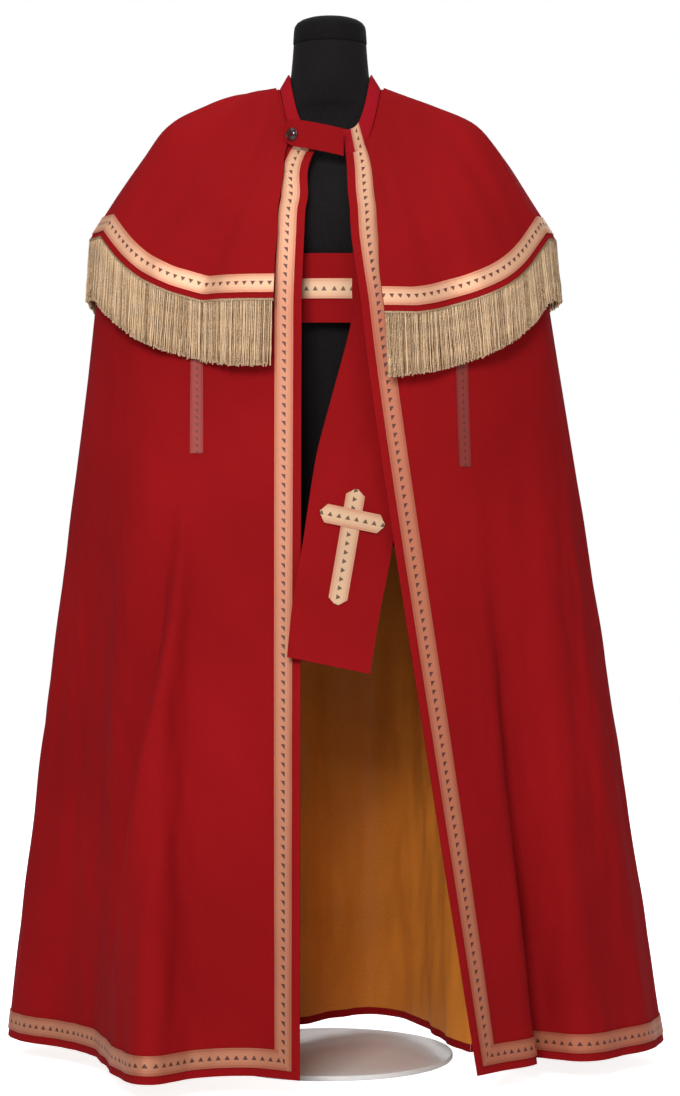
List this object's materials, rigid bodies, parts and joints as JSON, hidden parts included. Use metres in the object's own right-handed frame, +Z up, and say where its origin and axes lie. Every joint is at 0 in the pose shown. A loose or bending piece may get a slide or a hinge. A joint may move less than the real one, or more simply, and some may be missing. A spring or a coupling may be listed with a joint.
{
  "type": "cloak on a dress form",
  "caption": "Full-length open cloak with gold lining, fringed shoulder cape, metallic braid, stand collar, button tab and sash, worn on a limbless dress form with a round base",
  "frame": {"origin": "centre of the round base plate's underside, on the floor", "axes": "+X to the viewer's right as seen from the front, +Y backwards, +Z up; the cloak's open front faces -Y"},
  "size_m": [1.0141, 0.674, 1.6095],
  "materials": {
    "cloth": "matte red woven cloth",
    "collar": "matte red woven cloth",
    "lining": "golden satin",
    "braid": "metallic gold woven braid",
    "fringe": "silky cream gold yarn",
    "button": "glossy dark red",
    "form": "black jersey over a smooth form",
    "stand": "white lacquer"
  },
  "bodies": {
    "root": {"button": "button", "cape_back": "cloth", "cape_braid_back": "braid", "cape_braid_front_left": "braid", "cape_braid_front_right": "braid", "cape_front_left": "cloth", "cape_front_right": "cloth", "cloak_back_1": "cloth", "cloak_back_2": "cloth", "cloak_back_3": "cloth", "cloak_back_4": "cloth", "cloak_front_left": "cloth", "cloak_front_right": "cloth", "collar": "collar", "cross_bar": "braid", "cross_upright": "braid", "edge_braid_left": "braid", "edge_braid_right": "braid", "form_torso": "form", "fringe_back": "fringe", "fringe_front_left": "fringe", "fringe_front_right": "fringe", "hem_braid_back": "braid", "lining_back": "lining", "lining_front_left": "lining", "lining_front_right": "lining", "neck_cap": "form", "neck_tab": "cloth", "sash_band": "cloth", "sash_braid": "braid", "sash_tail": "cloth", "slit_braid_left": "braid", "slit_braid_right": "braid", "stand_base": "stand", "stand_pole": "stand"}
  },
  "joints": []
}
